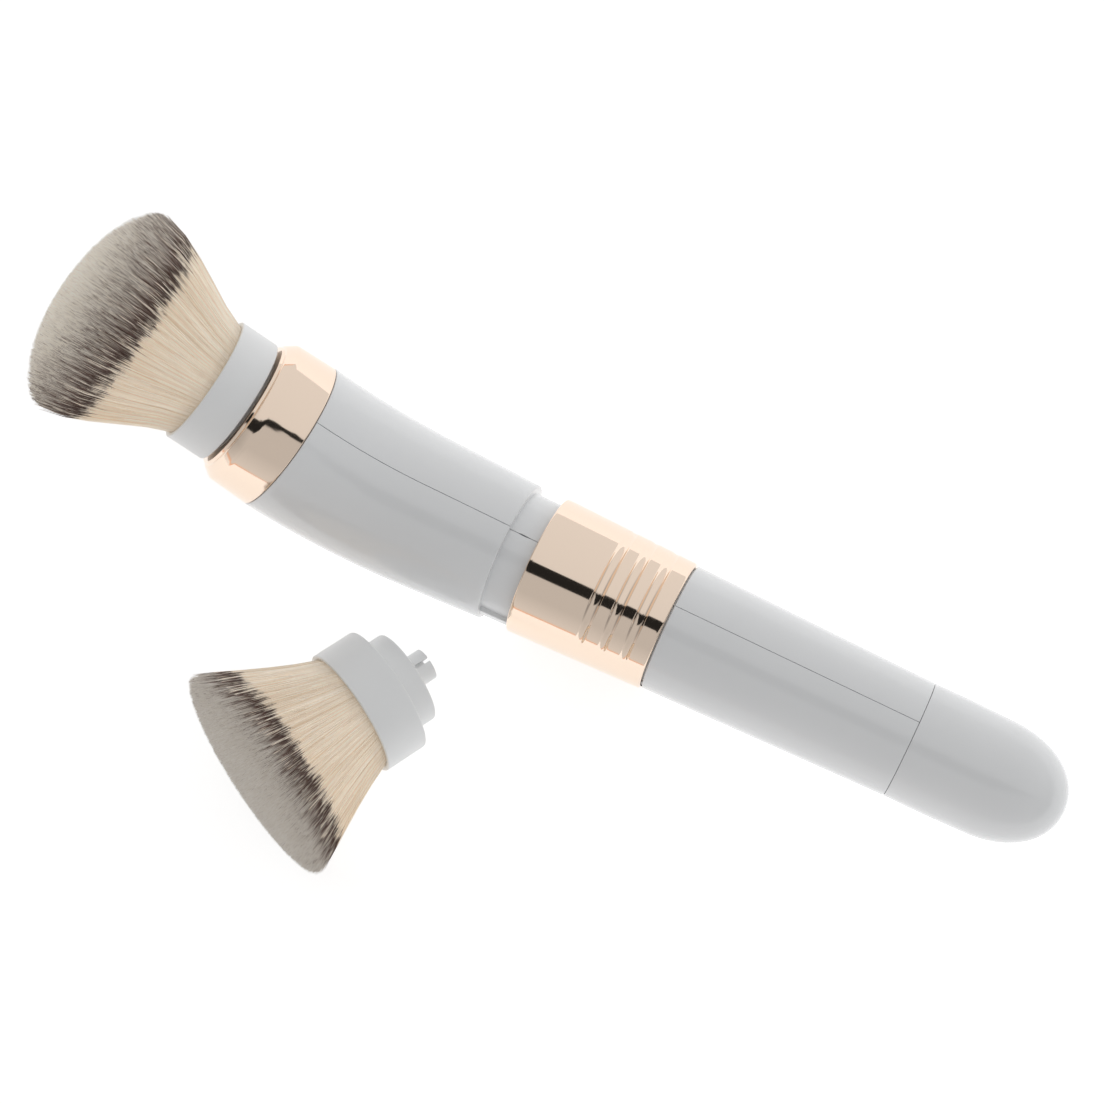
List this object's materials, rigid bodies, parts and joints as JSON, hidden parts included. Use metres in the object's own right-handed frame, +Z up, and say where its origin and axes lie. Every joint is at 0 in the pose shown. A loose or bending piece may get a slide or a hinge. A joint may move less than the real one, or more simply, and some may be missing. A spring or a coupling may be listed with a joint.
{
  "type": "make-up brush",
  "caption": "Spinning make-up brush run by batteries: curved handle with a sliding collar switch, pull-off cap and geared motor, a domed brush head on its nose and a spare flat-topped head.",
  "frame": {"origin": "on the table under the middle of the whole set's box", "axes": "+Z up; +X along the handle from the brush head to the battery cap; the spare head lies on the -Y side"},
  "size_m": [0.2334, 0.1078, 0.0677],
  "materials": {
    "gloss_white": "glossy white injection moulding",
    "satin_white": "satin white moulding",
    "rose_gold": "mirror rose-gold plating",
    "domed_hair": "cream filaments with a dark band and pale tips",
    "flat_hair": "cream filaments with a dark band and pale tips",
    "nylon": "natural acetal moulding",
    "brass": "plain brass",
    "steel": "plain steel",
    "black_plastic": "black moulding",
    "copper_winding": "enamelled copper",
    "ferrite": "sintered ferrite",
    "green_board": "solder mask over glass fibre",
    "cell_sleeve": "plain grey sleeve",
    "red_insulation": "wire insulation",
    "black_insulation": "wire insulation",
    "black_rubber": "gasket rubber"
  },
  "bodies": {
    "handle": {"shell_left": "gloss_white", "shell_right": "gloss_white", "front_trim_ring": "rose_gold", "nose_plate": "nylon", "gearbox_cover": "nylon", "output_bush": "brass", "ring_gear": "nylon", "gearbox_plate": "nylon", "gearbox_screw_1": "steel", "gearbox_screw_2": "steel", "gearbox_screw_3": "steel", "motor_can": "steel", "motor_end_cap": "black_plastic", "motor_magnet_left": "ferrite", "motor_magnet_right": "ferrite", "motor_terminal_left": "brass", "motor_terminal_right": "brass", "circuit_board": "green_board", "switch_body": "steel", "battery_holder": "black_plastic", "cell_left": "cell_sleeve", "cell_right": "cell_sleeve", "contact_strip": "brass", "contact_spring": "steel", "battery_wire_red": "red_insulation", "battery_wire_black": "black_insulation", "motor_wire_red": "red_insulation", "motor_wire_black": "black_insulation"},
    "collar": {"slider_collar": "rose_gold", "slider_bridge": "black_plastic", "switch_knob": "black_plastic"},
    "cap": {"battery_cap": "gloss_white", "cap_contact": "brass", "cap_gasket": "black_rubber"},
    "drive": {"planet_carrier": "nylon", "drive_hub": "nylon"},
    "planet_1": {"planet_gear_1": "nylon"},
    "planet_2": {"planet_gear_2": "nylon"},
    "planet_3": {"planet_gear_3": "nylon"},
    "rotor": {"motor_shaft": "steel", "sun_pinion": "brass", "motor_armature": "copper_winding"},
    "brush_head": {"brush_ferrule_cup": "satin_white", "brush_plug": "satin_white", "brush_bristles": "domed_hair"},
    "spare_head": {"spare_ferrule_cup": "satin_white", "spare_plug": "satin_white", "spare_bristles": "flat_hair"}
  },
  "joints": [
    {"name": "collar_slide", "type": "slide", "parent": "handle", "child": "collar", "axis": [-0.9996, 0, 0.0289], "range_m": [0, 0.006]},
    {"name": "cap_pull", "type": "slide", "parent": "handle", "child": "cap", "axis": [0.9996, 0, -0.0289], "range_m": [0, 0.03]},
    {"name": "drive_spin", "type": "hinge", "parent": "handle", "child": "drive", "pos_m": [-0.06248, 0.02652, 0.02494], "axis": [-0.8727, 0.0947, 0.4789], "continuous": true},
    {"name": "planet_1_spin", "type": "hinge", "parent": "drive", "child": "planet_1", "pos_m": [-0.06251, 0.03239, 0.02372], "axis": [-0.8727, 0.0947, 0.4789], "continuous": true},
    {"name": "planet_2_spin", "type": "hinge", "parent": "drive", "child": "planet_2", "pos_m": [-0.05992, 0.02452, 0.02999], "axis": [-0.8727, 0.0947, 0.4789], "continuous": true},
    {"name": "planet_3_spin", "type": "hinge", "parent": "drive", "child": "planet_3", "pos_m": [-0.065, 0.02264, 0.02112], "axis": [-0.8727, 0.0947, 0.4789], "continuous": true},
    {"name": "rotor_spin", "type": "hinge", "parent": "handle", "child": "rotor", "pos_m": [-0.06248, 0.02652, 0.02494], "axis": [-0.8727, 0.0947, 0.4789], "continuous": true},
    {"name": "brush_pull", "type": "slide", "parent": "drive", "child": "brush_head", "axis": [-0.8727, 0.0947, 0.4789], "range_m": [0, 0.02]},
    {"name": "spare_lift", "type": "slide", "parent": "handle", "child": "spare_head", "axis": [0, 0, 1], "range_m": [0, 0.08]}
  ],
  "couplings": [
    {"joint": "planet_1_spin", "follows": "drive_spin", "ratio": -2.6667},
    {"joint": "planet_2_spin", "follows": "drive_spin", "ratio": -2.6667},
    {"joint": "planet_3_spin", "follows": "drive_spin", "ratio": -2.6667},
    {"joint": "rotor_spin", "follows": "drive_spin", "ratio": 5}
  ]
}
